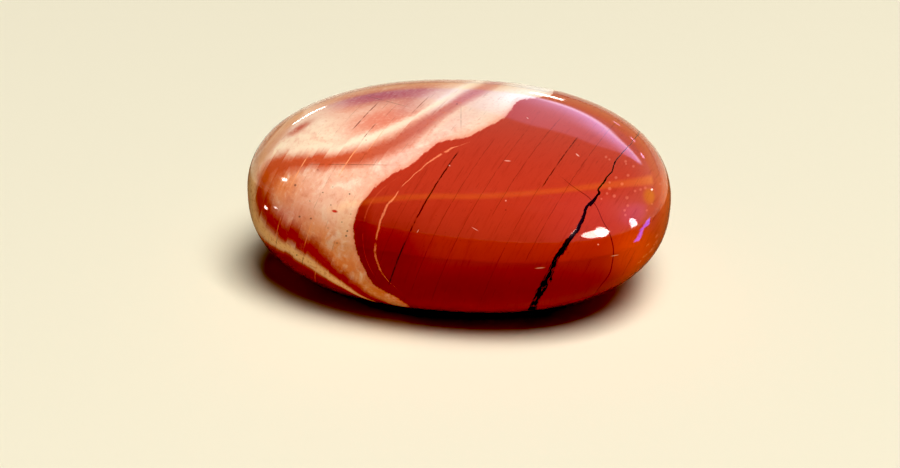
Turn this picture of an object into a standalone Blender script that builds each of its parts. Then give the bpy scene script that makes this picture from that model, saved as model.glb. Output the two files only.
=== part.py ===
"""Red jasper: one polished, egg-shaped stone lying on its broad side.

Metres, +Z up. The origin is in the middle of the footprint, on the plane the
stone rests on. +X runs along the length toward the broad end.
"""
import math

import bmesh
import bpy
from mathutils import Vector

# Driving dimensions
HALF_LENGTH = 0.0230
HALF_WIDTH = 0.0164
CROWN_RISE = 0.0100
BELLY_DROP = 0.0115
WORN_FLAT = 0.0003

# Shape of the stone: how full its outlines are and how they change along the length
PLAN_POWER = 2.19
SIDE_POWER = 2.40
WIDTH_TAPER = 0.183
CROWN_TAPER = -0.101
BELLY_TAPER = -0.060
BEND = -0.067
BEND_CENTRE = 0.35

# Squares along each side of the starting cube
DIVISIONS = 24

# Colour of the polished surface
JASPER_RED = (0.46, 0.045, 0.018, 1.0)
JASPER_ROUGHNESS = 0.12


def clear_scene():
    for item in list(bpy.data.objects):
        bpy.data.objects.remove(item, do_unlink=True)


def make_material():
    material = bpy.data.materials.new("jasper")
    material.use_nodes = True
    shader = material.node_tree.nodes["Principled BSDF"]
    shader.inputs["Base Color"].default_value = JASPER_RED
    shader.inputs["Roughness"].default_value = JASPER_ROUGHNESS
    shader.inputs["Metallic"].default_value = 0.0
    shader.inputs["IOR"].default_value = 1.54
    material.diffuse_color = JASPER_RED
    return material


def rounded(direction):
    """The point of the rounded form that lies in this direction from its middle."""
    half_height = CROWN_RISE if direction.z > 0.0 else BELLY_DROP
    x = abs(direction.x) / HALF_LENGTH
    y = abs(direction.y) / HALF_WIDTH
    z = abs(direction.z) / half_height
    plan = (x ** PLAN_POWER + y ** PLAN_POWER) ** (SIDE_POWER / PLAN_POWER)
    reach = (plan + z ** SIDE_POWER) ** (-1.0 / SIDE_POWER)
    return direction * reach


def stone_point(corner):
    """Carries a point of the two-unit cube onto the stone."""
    spread = [math.tan(value * math.pi / 4.0) for value in corner]
    point = rounded(Vector(spread).normalized())
    along = point.x / HALF_LENGTH
    width = point.y * (1.0 + WIDTH_TAPER * along)
    bend = BEND * HALF_WIDTH * (along * along - BEND_CENTRE)
    taper = CROWN_TAPER if point.z > 0.0 else BELLY_TAPER
    height = point.z * (1.0 + taper * along)
    return Vector((point.x, width + bend, height))


def build_stone(collection):
    bpy.ops.mesh.primitive_cube_add(size=2.0, location=(0.0, 0.0, 0.0))
    stone = bpy.context.object
    stone.name = "jasper_stone"
    stone.data.name = "jasper_stone"

    form = bmesh.new()
    form.from_mesh(stone.data)
    bmesh.ops.subdivide_edges(
        form, edges=form.edges[:], cuts=DIVISIONS - 1, use_grid_fill=True)
    for vertex in form.verts:
        vertex.co = stone_point(vertex.co)

    # The belly's lowest patch is worn to a small flat that the stone rests on
    rest_level = min(vertex.co.z for vertex in form.verts) + WORN_FLAT
    near = min(vertex.co.y for vertex in form.verts)
    far = max(vertex.co.y for vertex in form.verts)
    for vertex in form.verts:
        vertex.co.z = max(vertex.co.z - rest_level, 0.0)
        vertex.co.y -= (near + far) / 2.0

    bmesh.ops.triangulate(form, faces=form.faces[:])
    bmesh.ops.recalc_face_normals(form, faces=form.faces[:])
    form.to_mesh(stone.data)
    form.free()

    stone.data.materials.clear()
    stone.data.materials.append(make_material())
    stone.data.shade_smooth()
    for owner in list(stone.users_collection):
        owner.objects.unlink(stone)
    collection.objects.link(stone)
    return stone


def main():
    clear_scene()
    collection = bpy.data.collections.new("red_jasper")
    bpy.context.scene.collection.children.link(collection)
    build_stone(collection)


main()
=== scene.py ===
import math

import bmesh
import bpy
import numpy as np
from mathutils import Euler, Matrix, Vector


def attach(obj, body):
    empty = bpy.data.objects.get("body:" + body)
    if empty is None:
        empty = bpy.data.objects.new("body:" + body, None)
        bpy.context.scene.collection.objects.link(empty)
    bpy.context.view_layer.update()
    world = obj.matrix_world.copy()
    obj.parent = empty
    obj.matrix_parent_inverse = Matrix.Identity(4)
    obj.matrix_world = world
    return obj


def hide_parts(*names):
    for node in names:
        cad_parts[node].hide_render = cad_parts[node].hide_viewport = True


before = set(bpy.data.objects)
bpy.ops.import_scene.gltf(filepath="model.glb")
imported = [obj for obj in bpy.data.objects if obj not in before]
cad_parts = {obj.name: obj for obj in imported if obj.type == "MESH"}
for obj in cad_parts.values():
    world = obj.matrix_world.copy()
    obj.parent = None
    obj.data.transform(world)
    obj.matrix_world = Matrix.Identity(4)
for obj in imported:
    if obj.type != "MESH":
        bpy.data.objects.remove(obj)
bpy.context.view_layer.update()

# Viewpoint: degrees, metres and millimetres of lens
VIEW_TURN = 3.23
VIEW_RISE = 27.9
VIEW_DISTANCE = 0.17772
VIEW_TARGET = (-0.00073, -0.00426, 0.0077)
LENS = 65.6
PICTURE_WIDTH = 900.0
PICTURE_HEIGHT = 468.0

# The stone's form, the same values as the solid, in metres
HALF_LENGTH = 0.0230
HALF_WIDTH = 0.0164
CROWN_RISE = 0.0100
BELLY_DROP = 0.0115
WORN_FLAT = 0.0003
PLAN_POWER = 2.19
SIDE_POWER = 2.40
WIDTH_TAPER = 0.183
CROWN_TAPER = -0.101
BELLY_TAPER = -0.060
BEND = -0.067
BEND_CENTRE = 0.35
DIVISIONS = 128

# The near side is cut back a little below its widest line, which leaves a soft ridge there
UNDERCUT = 0.00036
UNDERCUT_START = 0.0015
UNDERCUT_FADE = (0.0040, 0.0090)

# The polish swells a little over this distance, and the vein is worn below it, in metres
SWELL_LENGTH = 0.017
SWELL = 0.00003
VEIN_GROOVE = 0.00003

# On hidden sides the bands wander by this much, in picture places, and a place there gets a third
# value that grows to this; thin lines have small kinks
WANDER = 34.0
WANDER_SHIFT = (18.0, -14.0)
BEHIND_SCALE = 400.0
KINK = 0.6

# Old fractures run through the stone in parallel planes that face this way
CLEFT_NORMAL = (0.884, -0.300, -0.358)

# Courses of the bands and veins, as places in the picture; a third value is a half width
RED_EDGE = [
    (640, 48), (590, 70), (556, 89), (551, 94.5), (536, 97.3), (518, 100.5), (511, 109), (503, 118),
    (491.5, 124.5), (479, 130.5), (466, 137), (449, 140), (437.6, 143), (426.5, 151.3),
    (413.7, 162.4), (405.8, 168), (393, 174), (380.3, 183.5), (370.7, 192.7), (362.7, 202.3),
    (357.5, 212), (354.8, 223), (354, 235.8), (356.4, 248.5), (359.5, 258), (364.3, 269.2),
    (369, 278.8), (375.5, 286.5), (386.6, 293.1), (396.2, 298), (407.4, 306), (425, 320), (450, 345)]
INNER_LINE = [
    (470, 142, 0.02), (455.2, 147.3, 0.3), (445.6, 151.3, 0.8), (436, 157.7, 0.75),
    (424.9, 165.6, 0.55), (415.3, 173.6, 0.4), (405.8, 182.4, 0.35), (399.4, 190.3, 0.45),
    (394.6, 197.5, 0.7), (388.2, 205.5, 0.9), (383.4, 215, 1.0), (378.7, 226.2, 1.05),
    (376.3, 237.4, 1.0), (375.5, 248.5, 1.0), (377, 259.7, 0.9), (380.3, 270.8, 0.7),
    (388.2, 280.4, 0.3), (398, 290, 0.02)]
SECOND_LINE = [
    (400, 176, 0.02), (386, 186, 0.5), (376, 196, 0.7), (368.5, 208, 0.75), (364.5, 220, 0.7),
    (363, 233, 0.55), (363.5, 246, 0.4), (366, 258, 0.5), (371, 270, 0.5), (378, 280, 0.02)]
BAND_LINE = [
    (560, 45, 4.5), (520, 68, 4.5), (494.8, 82.6, 4), (472, 94, 4.2), (460, 101, 4), (449, 108, 4.2),
    (437, 116, 4.7), (426, 124, 5.5), (414, 132, 6.5), (403, 139, 7.5), (391.5, 145, 8), (380, 149.5, 8),
    (372, 152.5, 8), (360, 156, 7.5), (347, 158.5, 6.5), (334.8, 160, 6.2), (311.9, 161.5, 6.8),
    (289, 163, 7.5), (277.4, 165.5, 8), (270, 170, 8.2), (265.4, 176.5, 8), (262, 184.4, 7.6),
    (260.6, 193, 7.4), (261.4, 202, 7.4), (265.4, 213.5, 7.8), (271.3, 220.8, 8), (281.3, 229.8, 8.2),
    (289, 235, 8.4), (300.4, 243.3, 8), (311, 251.2, 7.4), (321, 259.6, 6.4), (331.5, 269, 5.8),
    (341.4, 276.4, 5), (349.7, 283.6, 4.4), (358.8, 291, 3.6), (369, 297.5, 2.6), (385, 305, 1.8),
    (410, 318, 1.5)]
RIM_LINE = [
    (300, 112, 4), (284, 130, 4), (267.5, 150, 4.5), (260.6, 157.7, 4.5), (254.5, 166.5, 4.5),
    (251.4, 184.4, 4.5), (251.8, 199.7, 4.8), (254.2, 215.4, 5.4), (259.4, 227.4, 5.6), (266.9, 235.7, 5.4),
    (276.4, 242.4, 4.9), (285, 247, 4.4), (296.6, 254.6, 4.4), (306.5, 261, 4.4), (319, 269.6, 4.0),
    (331.5, 278, 3.3), (344, 286.2, 2.2), (356.3, 294.2, 1.3), (369, 300, 0.8), (390, 309, 0.8),
    (420, 325, 0.8)]
VEIN_LINE = [
    (655, 105, 0.2), (639.7, 131.4, 0.35), (632.5, 141.5, 0.25), (626.9, 148, 0.3), (617.4, 159.3, 0.5),
    (612.6, 168.8, 0.7), (607.8, 176.8, 0.7), (601.4, 184.8, 0.85), (597.6, 190.6, 0.75),
    (599.2, 193.4, 1.0), (593.4, 200.7, 1.4), (587, 207.5, 1.8), (583.9, 216.6, 1.9), (579, 226.2, 1.9),
    (574.3, 232.6, 1.8), (568, 242, 2.2), (561.6, 251.7, 2.5), (555.2, 261.3, 2.9), (551.2, 270.8, 3.1),
    (547.2, 278.8, 3.3), (543.5, 286, 3.4), (539.3, 294, 3.4), (536, 301, 3.2), (532, 309, 3.0),
    (522, 328, 2.5)]
CRACK_LINE = [
    (560, 176, 0.02), (572.7, 186.4, 0.3), (588.7, 197.5, 0.4), (596.6, 207, 0.4), (603, 221.4, 0.45),
    (609.4, 232.6, 0.5), (613.4, 248.5, 0.6), (612.6, 261.3, 0.5), (609.4, 274, 0.45),
    (599.8, 286.8, 0.35), (590, 300, 0.02)]


def tone(red, green, blue, alpha=1.0):
    """A screen colour, 0 to 255, as linear light."""
    values = []
    for value in (red, green, blue):
        value = value / 255.0
        values.append(value / 12.92 if value <= 0.04045 else ((value + 0.055) / 1.055) ** 2.4)
    return (*values, alpha)


# Soft patches of colour: place, half sizes, tilt in degrees, colour, strength; the ones marked below are
# painted light, some of them only in part
GROUND_TONE = tone(240, 190, 165)
GROUND_PATCHES_AND_PAINTED_LIGHT = [
    (340, 125, 64, 24, -12, tone(244, 220, 196), 1.0),
    (385, 118, 46, 13, -14, tone(226, 138, 114), 0.95),
    (352, 106, 26, 7, -16, tone(226, 144, 118), 0.7),
    (416, 100, 20, 9, -30, tone(200, 112, 104), 0.95),
    (386, 95, 56, 7.5, -7, tone(184, 92, 86), 1.0),
    (440, 96, 34, 8, -20, tone(240, 212, 196), 0.7),
    (442, 103, 17, 5, -36, tone(255, 250, 242), 0.85),
    (278, 150, 13, 8, -42, tone(255, 238, 208), 0.85),
    (308, 143, 30, 13, -25, tone(244, 222, 196), 0.9),
    (500, 100, 62, 13, -24, tone(238, 218, 200), 1.0),
    # Partly the pale stone, partly a painted highlight: near white where a bright strip is mirrored at the
    # top edge
    (532, 93, 36, 10, -10, tone(255, 250, 244), 1.0),
    (466, 87, 14, 3.5, -20, tone(255, 246, 236), 0.9),
    # Painted reflection and shade: the thin orange-brown line along the top outline
    (390, 84, 90, 3.5, -4, tone(196, 120, 84), 0.8),
    (455, 124, 34, 8, -33, tone(232, 196, 182), 0.7),
    (395, 162, 44, 11, -28, tone(238, 190, 174), 0.9),
    (340, 185, 50, 16, -10, tone(242, 188, 164), 0.8),
    # Painted reflection: this pinkish patch stands in for a soft violet reflection on the left end
    (290, 217, 20, 15, 20, tone(232, 148, 140), 0.8),
    (298, 196, 22, 14, 10, tone(242, 176, 146), 0.7),
    (336, 206, 22, 24, 0, tone(246, 202, 178), 0.9),
    (320, 240, 34, 16, 38, tone(242, 168, 124), 0.8),
    (346, 232, 9, 30, 8, tone(240, 194, 160), 0.8),
    (344, 266, 30, 16, 50, tone(240, 152, 98), 0.9),
    (385, 294, 34, 9, 22, tone(230, 142, 72), 0.9),
    (281, 182, 16, 18, 10, tone(236, 150, 98), 1.0),
    (299, 128.5, 14, 3.0, -31, tone(198, 108, 86), 1.0)]
BAND_TONES = [
    (0.00, tone(214, 150, 146)), (0.14, tone(206, 132, 122)), (0.26, tone(200, 110, 88)),
    (0.36, tone(204, 102, 70)), (0.44, tone(204, 98, 62)), (0.50, tone(204, 94, 46)),
    (0.56, tone(202, 84, 24)), (0.63, tone(196, 66, 18)), (0.70, tone(192, 46, 16)),
    (0.80, tone(188, 46, 14)), (1.00, tone(184, 40, 12))]
RED_TONE = tone(187, 71, 52)
RED_PATCHES_AND_PAINTED_LIGHT = [
    # Painted shade: darker red along the lower front, where the stone turns under
    (470, 288, 160, 19, -2, tone(158, 40, 28), 0.9),
    (384, 262, 34, 36, 20, tone(154, 32, 22), 0.8),
    (362, 240, 10, 50, -4, tone(150, 28, 20), 0.9),
    # Painted reflection: the next three patches are the floor's orange reflection along the right end and
    # its upper edge
    (656, 190, 16, 70, 6, tone(196, 100, 76), 0.9),
    (667, 200, 8, 62, 3, tone(222, 116, 64), 1.0),
    (640, 132, 30, 6, 48, tone(204, 104, 52), 0.8),
    (640, 254, 26, 22, -30, tone(234, 108, 50), 0.9),
    (634, 206, 22, 18, 0, tone(190, 92, 82), 0.7),
    # Painted reflection: the floor's orange reflection along the upper right edge
    (606, 106, 62, 8, 29, tone(196, 92, 40), 0.9)]

# Noise over a colour: which noise, where it starts and is full, strength and colour; in the pale
# ground the last value tells which of them calm down toward the far side
PALE_GRAIN = [
    ("streak", -0.02, 0.25, 0.12, tone(255, 236, 208), False),
    ("fine_streak", 0.04, 0.22, 0.10, tone(220, 140, 104), False),
    ("patch", 0.0, 0.2, 0.45, tone(255, 240, 224), True),
    ("patch", -0.04, -0.22, 0.4, tone(228, 144, 118), True),
    ("mottle", -0.04, -0.24, 0.35, tone(255, 236, 212), True),
    ("mottle", 0.04, 0.24, 0.35, tone(216, 128, 98), True),
    ("grain", 0.02, 0.2, 0.18, tone(250, 232, 204), False),
    ("grain", -0.03, -0.2, 0.22, tone(216, 128, 92), False),
    ("crumb", 0.17, 0.3, 0.5, tone(168, 84, 60), False)]
BAND_GRAIN = [
    ("mottle", 0.0, 0.25, 0.35, tone(222, 120, 80), False),
    ("grain", 0.0, 0.25, 0.4, tone(176, 58, 30), False)]
RED_GRAIN = [
    ("cloud", -0.2, 0.25, 0.22, tone(194, 78, 54), False),
    ("streak", 0.02, 0.25, 0.22, tone(148, 40, 28), False),
    ("fine_streak", 0.05, 0.25, 0.16, tone(128, 30, 22), False),
    ("crumb", 0.16, 0.26, 0.45, tone(118, 28, 24), False)]

# Single colours of the layers and marks
STRIPE_TONE = tone(255, 232, 208)
# The thin outline's colours: painted reflection and shade up high, a red layer of the stone down low
PAINTED_OUTLINE_SHEEN = tone(212, 142, 106)
OUTER_LOW = tone(192, 72, 24)
TAN_HIGH = tone(222, 168, 136)
TAN_LOW = tone(255, 210, 158)
DEEP_RIM_TONE = tone(164, 32, 6)
BLUSH_TONE = tone(226, 112, 78)
FAINT_LAYER_TONE = tone(198, 92, 66)
SECOND_LINE_TONE = tone(206, 96, 68)
INNER_LINE_TONE = tone(232, 144, 108)
DOT_TONE = tone(220, 130, 108)
DARK_SEAM_TONE = tone(78, 14, 10)
PALE_CRACK_TONE = tone(128, 50, 34)
HEALED_TONE = tone(250, 178, 132)
HAIRLINE_TONE = tone(100, 26, 18)
CRACK_TONE = tone(96, 18, 14)
VEIN_TONE = tone(26, 6, 12)
SPECK_TONE = tone(84, 40, 34)
FLECK_TONE = tone(196, 52, 58)
HAIR_TONE = tone(112, 78, 52)
NICK_TONE = tone(255, 226, 210)
FLAKE_TONE = tone(240, 150, 96)

# Salmon dots beyond the vein, and dark specks in the pale ground: place and radius
PALE_DOTS = [
    (606, 157, 1.5), (609.5, 159.5, 1.3), (625.5, 161.5, 1.6), (633.3, 166.5, 1.5), (626, 164, 1.1),
    (616, 177.6, 1.7), (628, 175.4, 1.7), (609.6, 182.4, 1.4), (622, 184, 1.8), (609.6, 188.6, 1.9),
    (607, 193.5, 1.5), (614.3, 196, 2.0), (601.4, 198.8, 1.2), (627, 197.7, 2.0), (627.8, 205.6, 1.6),
    (624.6, 210.3, 1.5), (625.4, 215, 1.5), (635, 191, 1.5), (640.6, 189.5, 1.6), (645.3, 188, 1.7),
    (646.8, 210.3, 1.4), (660, 184, 1.4), (652, 204, 1.2)]
DARK_SPECKS = [
    (347.4, 231, 1.1), (346.3, 235.8, 1.2), (349.7, 194, 1.0), (295.4, 185.2, 1.3), (323, 192.5, 0.8),
    (299.6, 216.6, 1.1), (311, 218.5, 1.1), (331, 205, 0.7), (356, 229, 0.8), (296.6, 255.2, 0.9),
    (505.8, 210, 0.8), (457, 104, 0.8), (318, 170, 0.7), (366, 140, 0.7), (342, 222, 0.7),
    (328, 228, 0.6), (351, 214, 0.6), (337, 243, 0.7), (310, 201, 0.6), (333, 187, 0.6)]
BRIGHT_MARKS = [
    (507.5, 161, 3.6, 0.8, 5), (577.5, 155, 2.6, 0.9, 40), (475, 229, 4.2, 0.5, 30),
    (540, 268, 5.5, 0.8, -5), (615, 255.6, 4.6, 0.7, -10), (505.8, 200.7, 0.9, 0.9, 0),
    (598.2, 244.5, 1.1, 0.9, 0), (418, 231, 2.2, 0.5, -60), (449.5, 165.5, 1.2, 0.7, 30),
    (527.5, 118, 1.6, 0.5, 40)]
FLECKS = [(334.8, 211.2, 3.4, 1.7, 12)]
HAIRS = [(350, 164.6, 62, 0.45, 0.5), (386, 101, 26, 0.4, 15), (461, 118, 0.4, 14, 0)]
FLAKES = [
    (656, 243, 4.2, 1.3, -50), (652, 250, 4.8, 1.4, -48), (645, 256, 4.4, 1.3, -40),
    (640, 262, 3.6, 1.2, -36), (657, 236, 2.8, 1.1, -60), (648, 245, 3.0, 1.0, -45)]

# Seams on the fracture planes: depth and half width in millimetres, strength, and the stretch of
# the picture, from top to bottom, where each shows
DARK_SEAMS = [
    (-3.95, 0.10, 0.95, 153, 284), (5.45, 0.075, 0.85, 138, 186), (5.2, 0.05, 0.35, 186, 300),
    (2.6, 0.05, 0.4, 118, 215), (0.6, 0.05, 0.35, 130, 300), (-1.6, 0.05, 0.4, 140, 290),
    (7.6, 0.05, 0.4, 120, 260), (-5.6, 0.04, 0.3, 170, 280)]
PALE_CRACKS = [
    (-15.2, 0.085, 0.8, 104, 128), (-13.5, 0.09, 0.85, 125, 139), (-11.0, 0.06, 0.7, 98, 112),
    (-13.2, 0.05, 0.4, 104, 116), (-17.2, 0.07, 0.5, 238, 262), (-13.6, 0.07, 0.55, 252, 268)]
HEALED_SEAMS = [
    (-17.7, 0.10, 0.8, 151, 187), (-13.4, 0.09, 0.8, 149, 176), (-17.4, 0.09, 0.6, 218, 240),
    (-13.8, 0.08, 0.6, 222, 250), (-11.9, 0.08, 0.5, 262, 284), (-12.2, 0.06, 0.5, 130, 150)]

# Polish: roughness, what crumbs, vein and nicks add to it, and the depth of the fine relief
ROUGHNESS = 0.055
CRUMB_ROUGHNESS = 0.05
VEIN_ROUGHNESS = 0.12
NICK_ROUGHNESS = 0.25
STONE_IOR = 1.54
RELIEF_STRENGTH = 0.25
RELIEF_DEPTH = 0.00004

# Floor, and the dark card on it that only the polish shows, in metres; the card is painted shade, standing
# in for the shaded floor round the stone in its reflections
FLOOR_TONE = (0.80, 0.765, 0.63, 1.0)
FLOOR_HALF = 3.0
SHADE_CARD_TONE = (0.26, 0.18, 0.11, 1.0)
SHADE_CARD_RADIUS = 0.30
SHADE_CARD_PLACE = (0.0, -0.26, 0.00004)

# Brightness of what the polish mirrors, as linear light
CEILING = (0.75, 0.72, 0.66, 1.0)
NEAR_WALL = (0.62, 0.58, 0.56, 1.0)
RIGHT_WALL = (1.1, 0.82, 1.1, 1.0)
LEDGE = (2.3, 1.6, 0.6, 1.0)
FAR_WALL = (0.90, 0.72, 0.45, 1.0)
BELOW = (0.60, 0.52, 0.40, 1.0)
WINDOW_LEFT = (0.62, 0.62, 0.88, 1.0)
WINDOW_DIM = (1.15, 1.15, 1.45, 1.0)
WINDOW_BRIGHT = (2.3, 2.5, 4.2, 1.0)
WINDOW_SILL = (3.3, 3.6, 4.6, 1.0)
VIOLET_GLOW = (1.8, 1.1, 2.6, 1.0)
YELLOW_GLOW = (1.7, 1.7, 0.15, 1.0)

# The edge of the mirrored ceiling: the direction it faces and how far off the middle it lies
LEDGE_NORMAL = (0.674, -0.647, -0.358)
LEDGE_OFFSET = 0.142

# Round glows in the mirrored room: turn and rise in degrees
VIOLET_PLACE = (88.0, 16.0)
YELLOW_PLACE = (60.0, 14.0)

# The main light, which the polish doesn't show: rise, turn, distance, size, colour and glow
KEY_LIGHT = (66, 150, 2.5, (1.25, 1.25), (1.0, 0.985, 0.965), 17.6)

# Lights that only the polish shows: rise and turn in degrees, size, colour, glow and shape
POLISH_DISTANCE = 0.8
POLISH_LIGHTS = [
    ("spot_right", 8.5, 131, (0.31, 0.20), (1.0, 0.93, 0.86), 15.0, "ELLIPSE"),
    ("spot_right_end", 10, 126, (0.14, 0.28), (1.0, 0.93, 0.86), 15.0, "ELLIPSE"),
    ("spot_small", 3, 95, (0.11, 0.34), (1.0, 0.92, 0.96), 13.0, "ELLIPSE"),
    ("strip_left", 12.7, -23, (0.13, 0.012), (1.0, 1.0, 1.0), 12.0, "RECTANGLE"),
    ("strip_top", 7, 6.3, (0.05, 0.022), (1.0, 1.0, 1.0), 10.0, "RECTANGLE"),
    ("dash_far", 6.4, 17, (0.022, 0.012), (0.85, 0.55, 1.0), 3.0, "RECTANGLE"),
    ("dash_middle", 8.8, 23, (0.020, 0.014), (0.85, 0.55, 1.0), 4.5, "RECTANGLE"),
    ("dash_near", 11.2, 29.5, (0.030, 0.020), (0.85, 0.55, 1.0), 5.5, "RECTANGLE"),
    ("dot_right", 12.9, 53, (0.030, 0.030), (1.0, 1.0, 1.0), 8.0, "ELLIPSE"),
    ("dot_left", 18, -94, (0.07, 0.055), (1.0, 1.0, 1.0), 15.0, "ELLIPSE")]

# Small bright things just above the floor: place, size, turn, colour and glow
GLINT_HEIGHT = 0.0006
LOW_GLINTS = [
    ("streak_near", (0.058, -0.0090), (0.032, 0.0045), 9.5, (0.10, 0.14, 1.0), 9.0),
    ("streak_far", (0.122, 0.0120), (0.105, 0.016), 18.0, (0.10, 0.14, 1.0), 9.0),
    ("glint_left", (-0.0492, -0.0036), (0.0040, 0.0028), 0, (1.0, 1.0, 1.0), 14.0),
    ("glint_left_low", (-0.0595, -0.0123), (0.0050, 0.0028), 0, (1.0, 1.0, 1.0), 10.0)]

# Screen contrast
BLACK_LEVEL = 0.046
SCREEN_GAMMA = 0.8


def look_round(scene):
    """The camera at the picture's viewing angle."""
    data = bpy.data.cameras.new("view")
    data.lens = LENS
    data.sensor_width = 36.0
    data.clip_start = 0.005
    data.clip_end = 20.0
    camera = bpy.data.objects.new("view", data)
    scene.collection.objects.link(camera)
    turn = math.radians(VIEW_TURN)
    rise = math.radians(VIEW_RISE)
    back = Vector((math.sin(turn) * math.cos(rise), -math.cos(turn) * math.cos(rise), math.sin(rise)))
    camera.location = Vector(VIEW_TARGET) + back * VIEW_DISTANCE
    camera.rotation_euler = Euler((math.pi / 2.0 - rise, 0.0, turn))
    scene.camera = camera


def picture_places(points):
    """Where points of the stone lie in the picture, and the direction from each to the viewpoint."""
    turn = math.radians(VIEW_TURN)
    rise = math.radians(VIEW_RISE)
    back = np.array((math.sin(turn) * math.cos(rise), -math.cos(turn) * math.cos(rise), math.sin(rise)))
    right = np.array((math.cos(turn), math.sin(turn), 0.0))
    up = np.cross(back, right)
    eye = np.array(VIEW_TARGET) + back * VIEW_DISTANCE
    away = points - eye
    scale = LENS / 36.0 * PICTURE_WIDTH / -(away @ back)
    places = np.stack(
        (PICTURE_WIDTH / 2.0 + scale * (away @ right), PICTURE_HEIGHT / 2.0 - scale * (away @ up)), axis=1)
    toward = -away / np.linalg.norm(away, axis=1)[:, None]
    return places, toward


def smooth_path(points, steps=6):
    """A smooth curve through the points; widths go along with the places."""
    knots = np.array(points, dtype=float)
    first = 2.0 * knots[:1] - knots[1:2]
    last = 2.0 * knots[-1:] - knots[-2:-1]
    knots = np.vstack((first, knots, last))
    share = np.linspace(0.0, 1.0, steps, endpoint=False)[:, None]
    runs = []
    for before, start, end, after in zip(knots[:-3], knots[1:-2], knots[2:-1], knots[3:]):
        runs.append(0.5 * (
            2.0 * start + (end - before) * share
            + (2.0 * before - 5.0 * start + 4.0 * end - after) * share ** 2
            + (3.0 * start - before - 3.0 * end + after) * share ** 3))
    runs.append(knots[-2:-1])
    return np.vstack(runs)


def across(path, places):
    """Distance of each place from a path, positive on its left in the picture, the share of the
    way along it, and the path's half width there."""
    nearest = np.full(len(places), np.inf)
    side = np.zeros(len(places))
    along = np.zeros(len(places))
    width = np.ones(len(places))
    count = len(path) - 1
    for index in range(count):
        start = path[index]
        step = path[index + 1] - start
        offset = places - start[:2]
        share = np.clip(offset @ step[:2] / (step[:2] @ step[:2]), 0.0, 1.0)
        gap = offset - share[:, None] * step[:2]
        square = (gap ** 2).sum(axis=1)
        closer = square < nearest
        nearest[closer] = square[closer]
        turned = step[1] * offset[:, 0] - step[0] * offset[:, 1]
        side[closer] = np.sign(turned[closer])
        along[closer] = (index + share[closer]) / count
        if len(start) > 2:
            width[closer] = start[2] + share[closer] * step[2]
    return np.sqrt(nearest) * side, along, width


def ripple(points, size, seed):
    """A smooth random-looking value between about -1 and 1 that changes over the given size."""
    total = np.zeros(len(points))
    picker = np.random.default_rng(seed)
    for _ in range(6):
        direction = picker.normal(size=3)
        direction *= picker.uniform(0.6, 1.5) / np.linalg.norm(direction)
        total += np.sin(points @ direction * (2.0 * math.pi / size) + picker.uniform(0.0, 2.0 * math.pi))
    return total / 2.6


def eased(value, low, high):
    share = np.clip((value - low) / (high - low), 0.0, 1.0)
    return share * share * (3.0 - 2.0 * share)


def patched(base, patches, places):
    """A base colour with soft oval patches laid over it."""
    colour = np.tile(np.array(base), (len(places), 1))
    for x, y, long_half, short_half, tilt, patch_tone, strength in patches:
        angle = math.radians(tilt)
        offset = places - np.array((x, y))
        along = (offset[:, 0] * math.cos(angle) + offset[:, 1] * math.sin(angle)) / long_half
        beside = (offset[:, 1] * math.cos(angle) - offset[:, 0] * math.sin(angle)) / short_half
        share = strength * np.exp(-0.8 * (along ** 2 + beside ** 2) ** 1.3)
        colour += (np.array(patch_tone) - colour) * share[:, None]
    return colour


def stone_points(cube):
    """Carries points of the two-unit cube onto the stone."""
    spread = np.tan(cube * (math.pi / 4.0))
    direction = spread / np.linalg.norm(spread, axis=1)[:, None]
    upper = direction[:, 2] > 0.0
    x = np.abs(direction[:, 0]) / HALF_LENGTH
    y = np.abs(direction[:, 1]) / HALF_WIDTH
    z = np.abs(direction[:, 2]) / np.where(upper, CROWN_RISE, BELLY_DROP)
    plan = (x ** PLAN_POWER + y ** PLAN_POWER) ** (SIDE_POWER / PLAN_POWER)
    reach = (plan + z ** SIDE_POWER) ** (-1.0 / SIDE_POWER)
    point = direction * reach[:, None]
    drop = np.maximum(-point[:, 2], 0.0)
    cut = (1.0 - np.exp(-drop / UNDERCUT_START)) * (1.0 - eased(drop, *UNDERCUT_FADE))
    point[:, 1] += UNDERCUT * cut * eased(-direction[:, 1], 0.15, 0.6)
    along = point[:, 0] / HALF_LENGTH
    point[:, 1] = point[:, 1] * (1.0 + WIDTH_TAPER * along) + BEND * HALF_WIDTH * (along ** 2 - BEND_CENTRE)
    point[:, 2] *= 1.0 + np.where(upper, CROWN_TAPER, BELLY_TAPER) * along
    point[:, 2] = np.maximum(point[:, 2] - point[:, 2].min() - WORN_FLAT, 0.0)
    point[:, 1] -= (point[:, 1].min() + point[:, 1].max()) / 2.0
    return point


def store(mesh, name, kind, values):
    layer = mesh.attributes.new(name, kind, "POINT")
    key = {"FLOAT": "value", "FLOAT_VECTOR": "vector", "FLOAT_COLOR": "color"}[kind]
    layer.data.foreach_set(key, np.asarray(values, dtype=np.float32).ravel())


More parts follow.
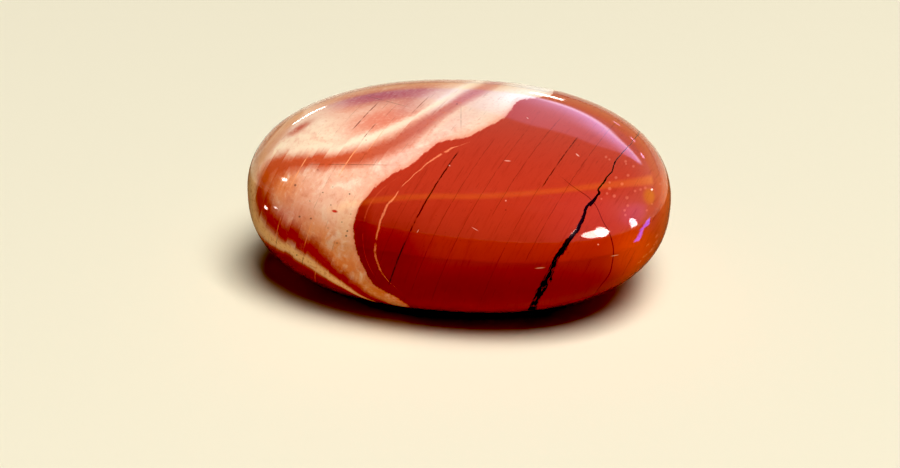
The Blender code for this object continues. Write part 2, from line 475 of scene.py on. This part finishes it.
def build_stone(scene):
    """The stone as a fine grid, with the courses of its bands kept at its points."""
    form = bmesh.new()
    bmesh.ops.create_cube(form, size=2.0)
    bmesh.ops.subdivide_edges(form, edges=form.edges[:], cuts=DIVISIONS - 1, use_grid_fill=True)
    mesh = bpy.data.meshes.new("polished_jasper")
    form.to_mesh(mesh)
    form.free()
    flat = np.empty(len(mesh.vertices) * 3)
    mesh.vertices.foreach_get("co", flat)
    points = stone_points(flat.reshape(-1, 3))
    mesh.vertices.foreach_set("co", points.ravel())
    mesh.update()
    normals = np.empty(len(mesh.vertices) * 3)
    mesh.vertices.foreach_get("normal", normals)
    normals = normals.reshape(-1, 3)

    # On the sides turned away from the picture the bands wander off in their own way
    places, toward = picture_places(points)
    facing = (normals * toward).sum(axis=1)
    loose = eased(-facing, -0.05, 0.75)[:, None]
    wander = np.stack((ripple(points, 0.030, 3), ripple(points, 0.026, 4)), axis=1)
    places = places + loose * (wander * WANDER + np.array(WANDER_SHIFT))

    red, _, _ = across(smooth_path(RED_EDGE), places)
    kinks = np.stack((ripple(points, 0.0024, 11), ripple(points, 0.0020, 12)), axis=1) * KINK
    inner, _, inner_half = across(smooth_path(INNER_LINE), places + kinks)
    second_line, _, second_half = across(smooth_path(SECOND_LINE), places)
    band, band_along, band_half = across(smooth_path(BAND_LINE), places)
    rim, _, rim_half = across(smooth_path(RIM_LINE), places)
    vein, _, vein_half = across(smooth_path(VEIN_LINE), places + kinks)
    crack, _, crack_half = across(smooth_path(CRACK_LINE), places)

    normal = np.array(CLEFT_NORMAL) / np.linalg.norm(CLEFT_NORMAL)
    first = np.cross(normal, (0.0, 0.0, 1.0))
    first /= np.linalg.norm(first)
    second = np.cross(normal, first)
    millimetres = points * 1000.0
    cleft = np.stack((millimetres @ normal, millimetres @ first, millimetres @ second), axis=1)

    # The polish swells a little, and the dark vein is worn below it
    core = eased(-np.abs(vein / vein_half), -1.3, -0.5) * eased(vein_half, 0.8, 2.0)
    lift = SWELL * ripple(points, SWELL_LENGTH, 8) - VEIN_GROOVE * core
    sunk = points + normals * (lift * eased(points[:, 2], 0.0002, 0.002))[:, None]
    sunk[:, 2] = np.maximum(sunk[:, 2], 0.0)
    mesh.vertices.foreach_set("co", sunk.ravel())
    mesh.update()

    knots = np.array([knot for knot, _ in BAND_TONES])
    shades = np.array([shade for _, shade in BAND_TONES])
    band_colour = np.stack([np.interp(band_along, knots, shades[:, c]) for c in range(4)], axis=1)
    # The pale ground's patches hold painted reflection, highlight and shade, as marked in their list
    store(mesh, "ground", "FLOAT_COLOR", patched(GROUND_TONE, GROUND_PATCHES_AND_PAINTED_LIGHT, places))
    store(mesh, "band_tone", "FLOAT_COLOR", band_colour)
    # The red's tone holds painted reflection along the right-hand outline and painted shade along the lower
    # front
    store(mesh, "red_tone_and_painted_light", "FLOAT_COLOR", patched(RED_TONE, RED_PATCHES_AND_PAINTED_LIGHT, places))
    store(mesh, "red", "FLOAT", red)
    store(mesh, "inner", "FLOAT", inner / inner_half)
    store(mesh, "inner_depth", "FLOAT", inner)
    store(mesh, "second_line", "FLOAT", second_line / second_half)
    store(mesh, "band", "FLOAT", band / band_half)
    store(mesh, "band_along", "FLOAT", band_along)
    store(mesh, "rim", "FLOAT", rim / rim_half)
    store(mesh, "vein", "FLOAT", vein / vein_half)
    store(mesh, "vein_half", "FLOAT", vein_half)
    store(mesh, "crack", "FLOAT", crack / crack_half)
    store(mesh, "cleft", "FLOAT_VECTOR", cleft)
    store(mesh, "place", "FLOAT_VECTOR", np.column_stack((places, loose[:, 0] * BEHIND_SCALE)))

    mesh.shade_smooth()
    stone = bpy.data.objects.new("polished_jasper", mesh)
    scene.collection.objects.link(stone)
    mesh.materials.append(jasper())
    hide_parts("jasper_stone")
    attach(stone, "root")


class Graph:
    """Adds nodes to a material or a world and joins them."""

    def __init__(self, owner):
        owner.use_nodes = True
        self.tree = owner.node_tree
        self.shader = self.tree.nodes.get("Principled BSDF")

    def set(self, socket, value):
        if isinstance(value, bpy.types.NodeSocket):
            self.tree.links.new(value, socket)
        else:
            socket.default_value = value

    def add(self, kind, **settings):
        node = self.tree.nodes.new(kind)
        for name, value in settings.items():
            setattr(node, name, value)
        return node

    def math(self, operation, first, second=0.0):
        node = self.add("ShaderNodeMath", operation=operation)
        self.set(node.inputs[0], first)
        self.set(node.inputs[1], second)
        return node.outputs[0]

    def times(self, first, second):
        return self.math("MULTIPLY", first, second)

    def sway(self, value, *noises):
        """The value with noises added, each times its own weight."""
        for noise, weight in noises:
            value = self.math("ADD", value, self.times(noise, weight))
        return value

    def parts(self, vector):
        node = self.add("ShaderNodeSeparateXYZ")
        self.set(node.inputs[0], vector)
        return node.outputs[:3]

    def read(self, name, output="Fac"):
        return self.add("ShaderNodeAttribute", attribute_name=name).outputs[output]

    def step(self, value, low, high, least=0.0, most=1.0):
        """Rises smoothly from least to most while the value goes from low to high."""
        node = self.add("ShaderNodeMapRange", interpolation_type="SMOOTHSTEP")
        for socket, number in zip(node.inputs, (value, low, high, least, most)):
            self.set(socket, number)
        return node.outputs[0]

    def mix(self, share, first, second):
        node = self.add("ShaderNodeMix", data_type="RGBA")
        self.set(node.inputs[0], share)
        self.set(node.inputs[6], first)
        self.set(node.inputs[7], second)
        return node.outputs[2]

    def stretch(self, vector, scale, move=(0.0, 0.0, 0.0), turn=0.0):
        node = self.add("ShaderNodeMapping")
        self.set(node.inputs["Vector"], vector)
        node.inputs["Location"].default_value = move
        node.inputs["Rotation"].default_value = (0.0, 0.0, turn)
        node.inputs["Scale"].default_value = scale
        return node.outputs[0]

    def noise(self, vector, scale, detail=3.0, roughness=0.55, distortion=0.0):
        """Cloudy value around 0, about -0.5 to 0.5."""
        node = self.add("ShaderNodeTexNoise")
        self.set(node.inputs["Vector"], vector)
        node.inputs["Scale"].default_value = scale
        node.inputs["Detail"].default_value = detail
        node.inputs["Roughness"].default_value = roughness
        node.inputs["Distortion"].default_value = distortion
        return self.math("SUBTRACT", node.outputs["Fac"], 0.5)

    def near(self, vector, place):
        node = self.add("ShaderNodeVectorMath", operation="DISTANCE")
        self.set(node.inputs[0], vector)
        node.inputs[1].default_value = place
        return node.outputs["Value"]


def spots(graph, place, marks):
    """One where any of the round marks is, with a soft edge."""
    total = None
    for x, y, radius in marks:
        share = graph.step(graph.near(place, (x, y, 0.0)), radius * 1.2, radius * 0.4)
        total = share if total is None else graph.math("MAXIMUM", total, share)
    return total


def dashes(graph, place, marks):
    """One where any of the small oval marks is."""
    total = None
    for x, y, long_half, short_half, tilt in marks:
        angle = -math.radians(tilt)
        turned_x = math.cos(angle) * x - math.sin(angle) * y
        turned_y = math.sin(angle) * x + math.cos(angle) * y
        turned = graph.stretch(place, (1.0, 1.0, 1.0), (-turned_x, -turned_y, 0.0), angle)
        shaped = graph.stretch(turned, (1.0 / long_half, 1.0 / short_half, 1.0))
        share = graph.step(graph.near(shaped, (0.0, 0.0, 0.0)), 1.2, 0.4)
        total = share if total is None else graph.math("MAXIMUM", total, share)
    return total


def seams(graph, depth, height, marks, gaps):
    """Thin lines where fracture planes at the given depths meet the surface."""
    total = None
    for level, half, strength, top, bottom in marks:
        off = graph.math("ABSOLUTE", graph.math("SUBTRACT", depth, level))
        share = graph.step(off, half, half * 0.3)
        share = graph.times(share, graph.step(height, top - 3, top + 3, 0.0, strength))
        share = graph.times(share, graph.step(height, bottom + 3, bottom - 3))
        total = share if total is None else graph.math("MAXIMUM", total, share)
    return graph.times(total, gaps)


def stone_noises(graph, cleft):
    """Noises laid along the fracture planes: streaks, clouds, spots, grain and crumbs."""
    return {
        "streak": graph.noise(graph.stretch(cleft, (3.2, 0.28, 0.28)), 1.0, 3.0, 0.6),
        "fine_streak": graph.noise(graph.stretch(cleft, (8.0, 0.6, 0.6)), 1.0, 2.0, 0.6),
        "patch": graph.noise(graph.stretch(cleft, (0.55, 0.35, 0.35), (4.0, 7.0, 2.0)), 1.0, 5.0, 0.6, 0.6),
        "cloud": graph.noise(cleft, 0.22, 4.0, 0.55, 0.4),
        "mottle": graph.noise(cleft, 1.1, 4.0, 0.6, 0.3),
        "grain": graph.noise(cleft, 2.6, 4.0, 0.62),
        "crumb": graph.noise(cleft, 5.0, 3.0, 0.6)}


def slice_offset(graph, level):
    """A random offset, about -0.5 to 0.5, for each slice of stone between fracture planes."""
    cells = graph.add("ShaderNodeTexVoronoi", voronoi_dimensions="1D")
    graph.set(cells.inputs["W"], graph.times(level, 0.75))
    cells.inputs["Scale"].default_value = 1.0
    channels = graph.add("ShaderNodeSeparateColor")
    graph.set(channels.inputs[0], cells.outputs["Color"])
    return graph.math("SUBTRACT", channels.outputs[0], 0.5)


def grained(graph, colour, noises, marks, lively=1.0):
    """A colour with noises laid over it."""
    for name, start, full, strength, shade, calms in marks:
        share = graph.step(noises[name], start, full, 0.0, strength)
        if calms:
            share = graph.times(share, lively)
        colour = graph.mix(share, colour, shade)
    return colour


def pale_ground(graph, noises, height):
    lively = graph.step(height, 104.0, 150.0, 0.2, 1.0)
    # The ground's tone holds the painted reflection, highlight and shade of its patches
    return grained(graph, graph.read("ground", "Color"), noises, PALE_GRAIN, lively)


def orange_band(graph, colour, noises, jog):
    """The orange-red band, soft on its inner side, with a pale stripe outside it."""
    band = graph.sway(graph.read("band"), (noises["mottle"], 0.5), (noises["streak"], 0.3),
                      (noises["grain"], 0.55), (jog, 0.7))
    ridge = graph.math("ABSOLUTE", band)
    stripe = graph.step(graph.math("ABSOLUTE", graph.math("SUBTRACT", band, -1.9)), 0.95, 0.1)
    stripe = graph.times(stripe, graph.step(graph.read("band_along"), 0.5, 0.35, 0.0, 0.85))
    colour = graph.mix(stripe, colour, STRIPE_TONE)
    band_tone = grained(graph, graph.read("band_tone", "Color"), noises, BAND_GRAIN)
    colour = graph.mix(graph.step(ridge, 2.2, 0.8, 0.0, 0.4), colour, band_tone)
    soft = graph.sway(1.3, (graph.step(band, 0.3, 1.5), 0.5))
    return graph.mix(graph.step(ridge, soft, 0.3, 0.0, 0.97), colour, band_tone)


def tan_rim(graph, colour, noises, jog, height, behind):
    """The tan rim and the dark layer below it, with a thin outline outside the tan that is painted
    reflection and shade up high and a red layer of the stone down low; on the far side and behind only the
    tan is left.
    """
    lower = graph.step(height, 150.0, 190.0)
    rim = graph.sway(graph.read("rim"), (noises["mottle"], 0.5), (jog, 0.35))
    # The outline: painted reflection and shade up high, the stone's red layer down low
    outer = graph.mix(lower, PAINTED_OUTLINE_SHEEN, OUTER_LOW)
    tan = graph.mix(lower, TAN_HIGH, TAN_LOW)
    outer = graph.mix(graph.step(behind, 0.0, 80.0, 0.0, 0.9), outer, tan)
    tan = graph.mix(graph.step(noises["grain"], 0.0, 0.2, 0.0, 0.5), tan, outer)
    colour = graph.mix(graph.step(rim, -0.5, -1.2), colour, outer)
    colour = graph.mix(graph.step(graph.math("ABSOLUTE", rim), 1.4, 0.2, 0.0, 0.92), colour, tan)
    return graph.mix(graph.times(graph.step(rim, -1.0, -2.0), lower), colour, DEEP_RIM_TONE)


def red_mass(graph, colour, noises, edge):
    """The red mass, crisp along its edge, with a faint blush outside it; its tone also holds painted
    reflection along the right-hand outline and painted shade along the lower front.
    """
    red_and_painted_light = grained(graph, graph.read("red_tone_and_painted_light", "Color"), noises, RED_GRAIN)
    colour = graph.mix(graph.step(edge, -5.5, 0.5, 0.0, 0.35), colour, BLUSH_TONE)
    return graph.mix(graph.step(edge, -0.8, 0.8), colour, red_and_painted_light)


def peach_lines(graph, colour, noises, cleft, edge):
    """The thin peach line inside the red, with fainter ones beside it."""
    breaks = graph.step(graph.noise(cleft, 0.9, 2.0), -0.2, 0.0)
    layer = graph.read("inner_depth")
    faint = graph.add("ShaderNodeTexNoise", noise_dimensions="1D")
    graph.set(faint.inputs["W"], graph.sway(layer, (noises["mottle"], 4.0)))
    faint.inputs["Scale"].default_value = 0.42
    faint.inputs["Detail"].default_value = 2.0
    layers = graph.step(faint.outputs["Fac"], 0.60, 0.72, 0.0, 0.35)
    layers = graph.times(layers, graph.step(graph.math("ABSOLUTE", layer), 22.0, 8.0))
    layers = graph.times(layers, graph.step(edge, 0.5, 3.0))
    layers = graph.times(layers, graph.step(noises["mottle"], -0.1, 0.15))
    colour = graph.mix(layers, colour, FAINT_LAYER_TONE)

    beside = graph.math("ABSOLUTE", graph.sway(graph.read("second_line"), (noises["crumb"], 1.2)))
    share = graph.times(graph.step(beside, 1.5, 0.5), graph.times(breaks, 0.55))
    colour = graph.mix(share, colour, SECOND_LINE_TONE)
    inner = graph.sway(graph.read("inner"), (noises["grain"], 2.2), (noises["crumb"], 1.4))
    share = graph.times(graph.step(graph.math("ABSOLUTE", inner), 1.5, 0.6), graph.times(breaks, 0.85))
    return graph.mix(share, colour, INNER_LINE_TONE)


def fractures(graph, colour, noises, cleft, level, height):
    """Hairline seams on the fracture planes; gives the colour and where the dark seams are."""
    depth = graph.sway(level, (noises["mottle"], 0.16))
    gaps = graph.step(graph.noise(cleft, 0.8, 3.0), -0.14, 0.0, 0.25, 1.0)
    dark = seams(graph, depth, height, DARK_SEAMS, gaps)
    colour = graph.mix(dark, colour, DARK_SEAM_TONE)
    colour = graph.mix(seams(graph, depth, height, PALE_CRACKS, gaps), colour, PALE_CRACK_TONE)
    colour = graph.mix(seams(graph, depth, height, HEALED_SEAMS, gaps), colour, HEALED_TONE)
    planes = graph.add("ShaderNodeTexVoronoi", voronoi_dimensions="1D", feature="DISTANCE_TO_EDGE")
    graph.set(planes.inputs["W"], graph.times(depth, 0.55))
    planes.inputs["Scale"].default_value = 1.0
    hairlines = graph.step(planes.outputs["Distance"], 0.03, 0.008, 0.0, 0.24)
    hairlines = graph.times(hairlines, graph.step(graph.noise(cleft, 0.45, 3.0), 0.0, 0.14))
    colour = graph.mix(hairlines, colour, HAIRLINE_TONE)

    # Stray crack beside the vein
    crack = graph.math("ABSOLUTE", graph.sway(graph.read("crack"), (noises["crumb"], 1.2)))
    return graph.mix(graph.step(crack, 1.3, 0.5, 0.0, 0.7), colour, CRACK_TONE), dark


def dark_vein(graph, noises, cleft):
    """Where the dark vein is, frayed where it widens."""
    notch = graph.noise(graph.stretch(cleft, (2.6, 0.9, 0.9)), 1.0, 3.0, 0.65)
    vein = graph.sway(graph.read("vein"), (noises["crumb"], 0.9), (notch, 2.6))
    sliver = graph.noise(graph.stretch(cleft, (6.5, 1.1, 1.1)), 1.0, 2.0, 0.5)
    wide = graph.step(graph.read("vein_half"), 2.0, 3.2, 0.0, 0.85)
    fray = graph.times(graph.step(sliver, 0.06, 0.12), wide)
    share = graph.step(graph.math("ABSOLUTE", vein), 1.15, 0.8)
    return graph.times(share, graph.math("SUBTRACT", 1.0, fray))


def small_marks(graph, colour, noises, place, nicks):
    """Specks, hairs, flakes and small polished-over nicks."""
    colour = graph.mix(graph.times(spots(graph, place, DARK_SPECKS), 0.6), colour, SPECK_TONE)
    colour = graph.mix(dashes(graph, place, FLECKS), colour, FLECK_TONE)
    hairs = graph.times(dashes(graph, place, HAIRS), graph.step(noises["grain"], -0.15, 0.05))
    colour = graph.mix(graph.times(hairs, 0.5), colour, HAIR_TONE)
    colour = graph.mix(graph.times(nicks, 0.4), colour, NICK_TONE)
    flakes = graph.times(dashes(graph, place, FLAKES), graph.step(noises["crumb"], -0.15, 0.1))
    return graph.mix(graph.times(flakes, 0.75), colour, FLAKE_TONE)


def jasper():
    """The stone's material, laid layer over layer from the pale ground up."""
    material = bpy.data.materials.new("jasper")
    graph = Graph(material)
    place = graph.read("place", "Vector")
    cleft = graph.read("cleft", "Vector")
    level = graph.parts(cleft)[0]
    _, height, behind = graph.parts(place)
    noises = stone_noises(graph, cleft)
    crumb = noises["crumb"]
    jog = slice_offset(graph, level)

    colour = pale_ground(graph, noises, height)
    colour = orange_band(graph, colour, noises, jog)
    colour = tan_rim(graph, colour, noises, jog, height, behind)
    edge = graph.sway(graph.read("red"), (noises["streak"], 3.5), (noises["grain"], 2.6),
                      (crumb, 1.6), (jog, 1.0))
    colour = red_mass(graph, colour, noises, edge)
    colour = peach_lines(graph, colour, noises, cleft, edge)
    colour = graph.mix(graph.times(spots(graph, place, PALE_DOTS), 0.5), colour, DOT_TONE)
    colour, dark = fractures(graph, colour, noises, cleft, level, height)
    vein = dark_vein(graph, noises, cleft)
    colour = graph.mix(vein, colour, VEIN_TONE)
    nicks = dashes(graph, place, BRIGHT_MARKS)
    colour = small_marks(graph, colour, noises, place, nicks)
    graph.set(graph.shader.inputs["Base Color"], colour)

    rough = graph.sway(ROUGHNESS, (graph.step(crumb, 0.12, 0.3), CRUMB_ROUGHNESS),
                       (vein, VEIN_ROUGHNESS), (nicks, NICK_ROUGHNESS))
    graph.set(graph.shader.inputs["Roughness"], rough)
    graph.shader.inputs["IOR"].default_value = STONE_IOR

    bump = graph.add("ShaderNodeBump")
    bump.inputs["Strength"].default_value = RELIEF_STRENGTH
    bump.inputs["Distance"].default_value = RELIEF_DEPTH
    relief = graph.sway(graph.times(crumb, 0.10), (dark, -0.35), (vein, -0.25))
    graph.set(bump.inputs["Height"], relief)
    graph.set(graph.shader.inputs["Normal"], bump.outputs[0])
    return material


def flat_piece(scene, name, form, colour, roughness):
    """A flat piece of the setting in one dull colour."""
    mesh = bpy.data.meshes.new(name)
    form.to_mesh(mesh)
    form.free()
    piece = bpy.data.objects.new(name, mesh)
    scene.collection.objects.link(piece)
    material = bpy.data.materials.new(name)
    shader = Graph(material).shader
    shader.inputs["Base Color"].default_value = colour
    shader.inputs["Roughness"].default_value = roughness
    shader.inputs["Specular IOR Level"].default_value = 0.0
    mesh.materials.append(material)
    return piece


def lay_floor(scene):
    form = bmesh.new()
    bmesh.ops.create_grid(form, x_segments=8, y_segments=8, size=FLOOR_HALF)
    floor = flat_piece(scene, "floor", form, FLOOR_TONE, 0.7)


def lay_shade_card(scene):
    """A dark card on the near side of the stone that only the polish shows: painted shade, standing in for
    the shaded floor in the stone's reflections.
    """
    form = bmesh.new()
    bmesh.ops.create_circle(form, cap_ends=True, segments=96, radius=SHADE_CARD_RADIUS)
    shade_card = flat_piece(scene, "shade_card", form, SHADE_CARD_TONE, 0.9)
    shade_card.location = SHADE_CARD_PLACE
    shade_card.visible_camera = False
    shade_card.visible_diffuse = False
    shade_card.visible_shadow = False


def lamp(scene, name, place, facing, size, colour, glow, shape="RECTANGLE", sheen=True, fill=True):
    data = bpy.data.lights.new(name, "AREA")
    data.shape = shape
    data.size = size[0]
    data.size_y = size[1]
    data.color = colour
    data.energy = glow * math.pi * size[0] * size[1]
    light = bpy.data.objects.new(name, data)
    scene.collection.objects.link(light)
    light.location = place
    light.rotation_euler = facing
    light.visible_camera = False
    light.visible_glossy = sheen
    light.visible_diffuse = fill


def panel(scene, name, rise, turn, distance, size, colour, glow, **settings):
    """A light in a direction from the stone: rise above the level, turn clockwise from the far
    side seen from above, both in degrees."""
    high = math.radians(rise)
    round_ = math.radians(turn)
    toward = Vector((math.sin(round_) * math.cos(high), math.cos(round_) * math.cos(high), math.sin(high)))
    place = Vector((0.0, 0.0, 0.012)) + toward * distance
    facing = toward.to_track_quat("Z", "Y").to_euler()
    lamp(scene, name, place, facing, size, colour, glow, **settings)


def low_glint(scene, name, place, size, turn, colour, glow):
    """A small bright thing lying just above the floor that only the polish shows."""
    facing = Euler((math.pi, 0.0, math.radians(turn)))
    lamp(scene, name, (*place, GLINT_HEIGHT), facing, size, colour, glow, fill=False)


def round_glow(graph, turn, rise, centre, outer, inner):
    """One near a direction in the mirrored room, fading out round it."""
    spread = graph.math("ADD", graph.math("POWER", graph.math("SUBTRACT", turn, centre[0]), 2.0),
                        graph.math("POWER", graph.math("SUBTRACT", rise, centre[1]), 2.0))
    return graph.step(spread, outer, inner)


def walls(graph, toward, rise):
    """The pale ceiling with its bright edge, the dimmer walls and what is below the level."""
    x, y, _ = graph.parts(toward)
    lean = graph.add("ShaderNodeVectorMath", operation="DOT_PRODUCT")
    graph.set(lean.inputs[0], toward)
    lean.inputs[1].default_value = LEDGE_NORMAL
    side = graph.math("ADD", lean.outputs["Value"], LEDGE_OFFSET)
    side = graph.math("SUBTRACT", side, graph.step(x, 0.45, 0.95, 0.0, 0.12))
    past_edge = graph.step(side, -0.012, 0.012)
    colour = graph.mix(past_edge, CEILING, NEAR_WALL)
    near_right = graph.times(graph.step(x, 0.05, 0.75), graph.step(y, 0.35, -0.1))
    colour = graph.mix(graph.times(near_right, past_edge), colour, RIGHT_WALL)
    ledge = graph.step(graph.math("ABSOLUTE", graph.math("SUBTRACT", side, 0.01)), 0.065, 0.015)
    colour = graph.mix(ledge, colour, LEDGE)
    far_wall = graph.times(graph.step(rise, 13.0, 9.5), graph.step(y, -0.2, 0.3))
    colour = graph.mix(far_wall, colour, FAR_WALL)
    return graph.mix(graph.step(rise, 0.3, -0.3), colour, BELOW)


def window(graph, colour, turn, rise):
    """The violet window on the far side, brighter low down and toward the right."""
    low = graph.sway(11.5, (graph.step(turn, 4.0, 24.0), 5.0))
    high = graph.sway(21.0, (graph.step(turn, -6.0, 10.0), 10.0), (graph.step(turn, 20.0, 36.0), -12.0))
    above = graph.math("SUBTRACT", rise, low)
    below = graph.math("SUBTRACT", high, rise)
    pane = graph.times(graph.step(above, -0.8, 1.2), graph.step(below, -0.8, 0.8))
    pane = graph.times(pane, graph.step(turn, -19.0, -13.0))
    pane = graph.times(pane, graph.step(turn, 35.0, 32.0))
    glass = graph.mix(graph.step(turn, -2.0, 9.0), WINDOW_LEFT, WINDOW_DIM)
    gleam = graph.times(graph.step(above, 11.0, 0.0), graph.step(turn, 0.0, 18.0))
    glass = graph.mix(gleam, glass, WINDOW_BRIGHT)
    sill = graph.times(graph.step(above, 2.6, 1.0), graph.step(turn, 3.0, 8.0, 0.0, 0.8))
    return graph.mix(pane, colour, graph.mix(sill, glass, WINDOW_SILL))


def soft_room(scene):
    """What the polish mirrors, by direction; it adds no light to the floor or the stone's colour."""
    world = bpy.data.worlds.new("soft_room")
    graph = Graph(world)
    world.cycles_visibility.diffuse = False
    toward = graph.add("ShaderNodeTexCoord").outputs["Generated"]
    x, y, z = graph.parts(toward)
    rise = graph.times(graph.math("ARCSINE", z), 180.0 / math.pi)
    turn = graph.times(graph.math("ARCTAN2", x, y), 180.0 / math.pi)
    colour = window(graph, walls(graph, toward, rise), turn, rise)
    violet = graph.times(round_glow(graph, turn, rise, VIOLET_PLACE, 420.0, 20.0), 0.6)
    colour = graph.mix(violet, colour, VIOLET_GLOW)
    yellow = round_glow(graph, turn, rise, YELLOW_PLACE, 110.0, 10.0)
    colour = graph.mix(yellow, colour, YELLOW_GLOW)
    graph.set(world.node_tree.nodes["Background"].inputs["Color"], colour)
    scene.world = world


def light_studio(scene):
    soft_room(scene)
    panel(scene, "key", *KEY_LIGHT, sheen=False)
    for name, rise, turn, size, colour, glow, shape in POLISH_LIGHTS:
        panel(scene, name, rise, turn, POLISH_DISTANCE, size, colour, glow, shape=shape, fill=False)
    for name, place, size, turn, colour, glow in LOW_GLINTS:
        low_glint(scene, name, place, size, turn, colour, glow)


scene = bpy.context.scene
scene.view_settings.view_transform = "Standard"
scene.view_settings.gamma = SCREEN_GAMMA
scene.view_settings.use_curve_mapping = True
scene.view_settings.curve_mapping.black_level = (BLACK_LEVEL, BLACK_LEVEL, BLACK_LEVEL)
scene.view_settings.curve_mapping.update()
look_round(scene)
build_stone(scene)
lay_floor(scene)
lay_shade_card(scene)
light_studio(scene)
